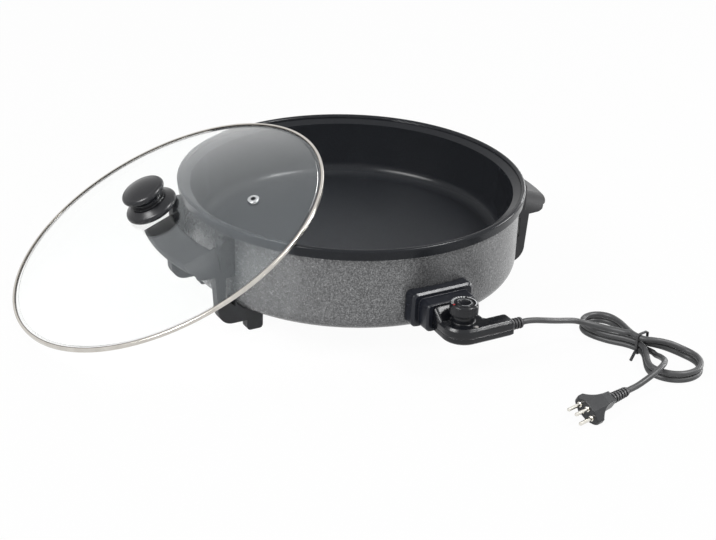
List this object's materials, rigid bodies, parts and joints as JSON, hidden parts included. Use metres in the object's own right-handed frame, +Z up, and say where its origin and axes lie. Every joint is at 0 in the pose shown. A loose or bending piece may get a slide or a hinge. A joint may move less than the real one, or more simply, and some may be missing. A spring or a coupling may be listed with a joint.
{
  "type": "electric table grill",
  "caption": "Round electric table grill with a deep coated pan, bracket handles that are its feet, a loose glass lid leaning on the rim and a plug-in thermostat on a bundled lead.",
  "frame": {"origin": "centre of the base shell's flat underside; the table is 27 mm lower, under the handle feet", "axes": "+Z up, +X along the two handles to the right, -Y towards the thermostat"},
  "size_m": [0.6329, 0.6351, 0.1759],
  "materials": {
    "pan_coating": "satin non-stick",
    "hammertone": "hammered satin",
    "plain_steel": "satin",
    "heater_steel": "oxidised",
    "plated_steel": "polished",
    "insulator": "matte",
    "satin_black": "satin",
    "lid_glass": "clear",
    "polished_steel": "polished",
    "knob_black": "gloss",
    "gloss_black": "gloss",
    "contact_brass": "satin",
    "lamp_lens": "translucent",
    "mark_red": "matte",
    "cord_grey": "matte",
    "soft_black": "matte",
    "plug_grey": "satin",
    "pin_nickel": "polished"
  },
  "bodies": {
    "cooker": {"inner_pan": "pan_coating", "outer_shell": "hammertone", "base_screws": "plain_steel", "heating_element": "heater_steel", "terminal_pins": "plated_steel", "terminal_seals": "insulator", "probe_guide": "plain_steel", "socket_housing": "satin_black", "socket_screws": "plain_steel", "left_handle": "satin_black", "right_handle": "satin_black", "handle_screws": "plain_steel"},
    "lid": {"lid_glass": "lid_glass", "lid_band": "polished_steel", "vent_grommet": "polished_steel", "knob_flange": "knob_black", "lid_knob": "knob_black", "knob_washer": "plain_steel", "knob_screw": "plain_steel"},
    "thermostat": {"upper_case": "gloss_black", "lower_case": "gloss_black", "case_screws": "plain_steel", "probe": "plated_steel", "contact_sleeves": "contact_brass", "switch_block": "insulator", "indicator_lens": "lamp_lens", "cord_relief": "soft_black", "cord_lead": "cord_grey", "cord_hank": "cord_grey", "cord_tie": "soft_black", "cord_tail": "cord_grey", "plug_sleeve": "soft_black", "plug_body": "plug_grey", "plug_pins": "pin_nickel"},
    "dial": {"dial": "gloss_black", "dial_pointer": "mark_red", "dial_shaft": "plain_steel"}
  },
  "joints": [
    {"name": "lid_lift", "type": "slide", "parent": "cooker", "child": "lid", "axis": [0, 0, 1], "range_m": [0, 0.2]},
    {"name": "thermostat_pull", "type": "slide", "parent": "cooker", "child": "thermostat", "axis": [0, -1, 0], "range_m": [0, 0.12]},
    {"name": "dial_turn", "type": "hinge", "parent": "thermostat", "child": "dial", "pos_m": [0, -0.2465, 0.045], "axis": [0, 0, -1], "range_deg": [0, 270]}
  ]
}
